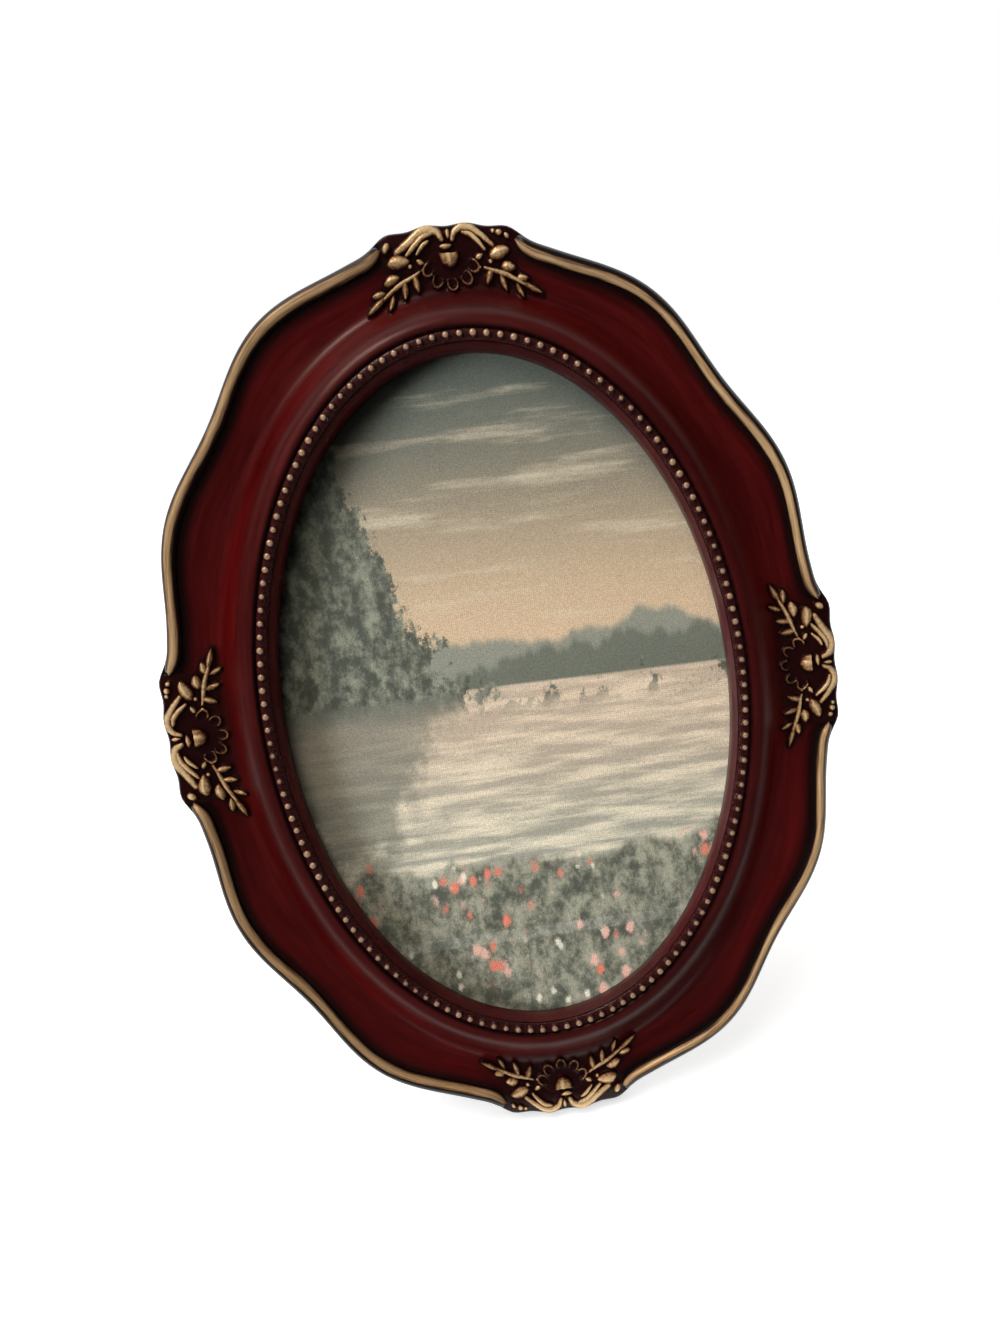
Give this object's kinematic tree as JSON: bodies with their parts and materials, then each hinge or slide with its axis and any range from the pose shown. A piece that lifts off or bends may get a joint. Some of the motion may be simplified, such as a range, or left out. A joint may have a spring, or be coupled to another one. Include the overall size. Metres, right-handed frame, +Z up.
{
  "type": "oval picture frame",
  "caption": "Oval tabletop picture frame with a waved red moulding, gilt edge and leaf ornaments, beaded sight edge, glass, folding easel leg and wall ring.",
  "frame": {"origin": "on the table, under the middle of the standing frame's box", "axes": "+X to the right seen from the front, +Y to the back, where the leg stands, +Z up; the frame leans back by 15 degrees"},
  "size_m": [0.1714, 0.0842, 0.2209],
  "materials": {
    "red_lacquer": "gloss",
    "bead_lacquer": "gloss",
    "gilt": "satin",
    "glass": "polished",
    "print": "matte",
    "card": "matte",
    "board": "matte",
    "brass": "satin",
    "steel": "satin"
  },
  "bodies": {
    "frame": {"frame_moulding": "red_lacquer", "gilt_rim_upper_right": "gilt", "gilt_rim_upper_left": "gilt", "gilt_rim_lower_right": "gilt", "gilt_rim_lower_left": "gilt", "ornament_top": "gilt", "ornament_right": "gilt", "ornament_bottom": "gilt", "ornament_left": "gilt", "bead_strip": "bead_lacquer", "glass_pane": "glass", "photo_print": "print", "backing_card": "card", "back_board": "board", "button_screws": "steel", "hinge_fixed_leaf": "brass", "hinge_pin": "steel", "hinge_rivets": "steel", "hanger_strap": "brass", "hanger_rivet": "steel"},
    "leg": {"easel_leg": "board", "hinge_leg_leaf": "brass", "leg_rivets": "steel"},
    "ring": {"hanger_ring": "brass"},
    "button_1": {"turn_button_1": "brass"},
    "button_2": {"turn_button_2": "brass"},
    "button_3": {"turn_button_3": "brass"},
    "button_4": {"turn_button_4": "brass"}
  },
  "joints": [
    {"name": "leg_fold", "type": "hinge", "parent": "frame", "child": "leg", "pos_m": [0, 0.00491, 0.13398], "axis": [1, 0, 0], "range_deg": [-30, 0]},
    {"name": "ring_swing", "type": "hinge", "parent": "frame", "child": "ring", "pos_m": [0, 0.02394, 0.20539], "axis": [1, 0, 0], "range_deg": [-15, 165]},
    {"name": "button_1_turn", "type": "hinge", "parent": "frame", "child": "button_1", "pos_m": [0.04851, 0.01375, 0.17351], "axis": [0, 0.9659, -0.2588], "continuous": true},
    {"name": "button_2_turn", "type": "hinge", "parent": "frame", "child": "button_2", "pos_m": [-0.04851, 0.01375, 0.17351], "axis": [0, 0.9659, -0.2588], "continuous": true},
    {"name": "button_3_turn", "type": "hinge", "parent": "frame", "child": "button_3", "pos_m": [-0.04851, -0.02066, 0.04511], "axis": [0, 0.9659, -0.2588], "continuous": true},
    {"name": "button_4_turn", "type": "hinge", "parent": "frame", "child": "button_4", "pos_m": [0.04851, -0.02066, 0.04511], "axis": [0, 0.9659, -0.2588], "continuous": true}
  ]
}
